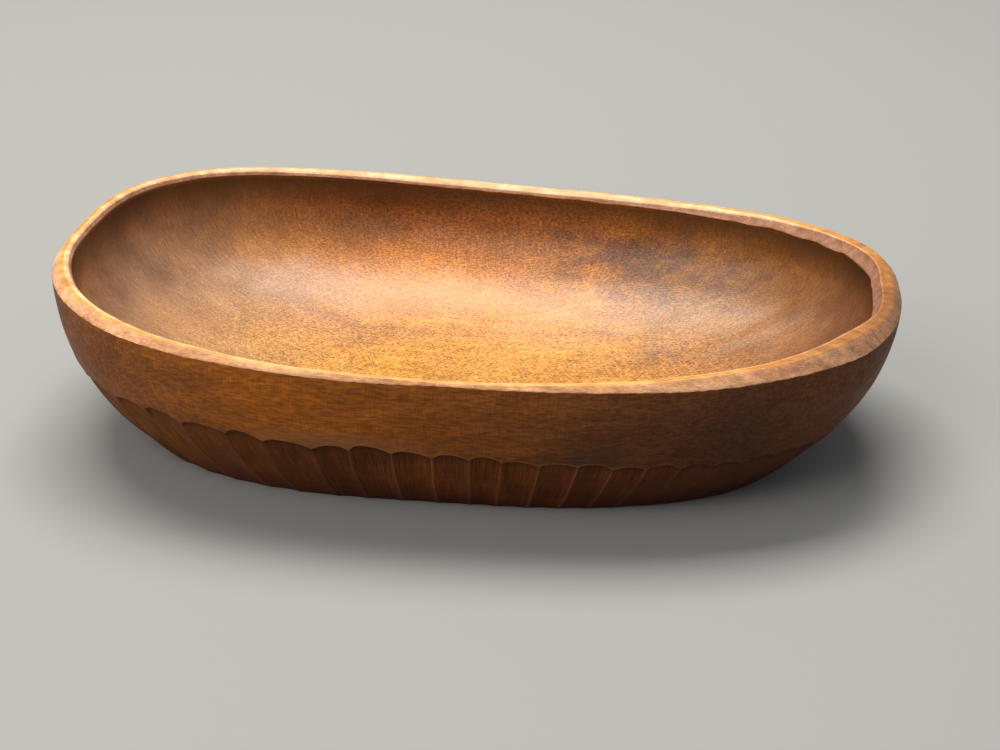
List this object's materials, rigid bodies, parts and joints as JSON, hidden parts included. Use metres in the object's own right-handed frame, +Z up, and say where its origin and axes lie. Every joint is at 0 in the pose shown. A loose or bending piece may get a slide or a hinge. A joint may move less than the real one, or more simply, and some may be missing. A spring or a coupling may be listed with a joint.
{
  "type": "wooden bowl",
  "caption": "Long oval hand-carved wooden bowl with a chamfered rim that rises at the ends and gouge flutes round the lower wall.",
  "frame": {"origin": "on the surface that the bowl stands on, under the middle of the rim's plan", "axes": "+X along the bowl, towards its narrower and lower end; +Z up; +Y across the bowl"},
  "size_m": [0.3, 0.1782, 0.0671],
  "materials": {
    "carved_wood": "oiled and worn, satin"
  },
  "bodies": {
    "root": {"bowl_body": "carved_wood"}
  },
  "joints": []
}
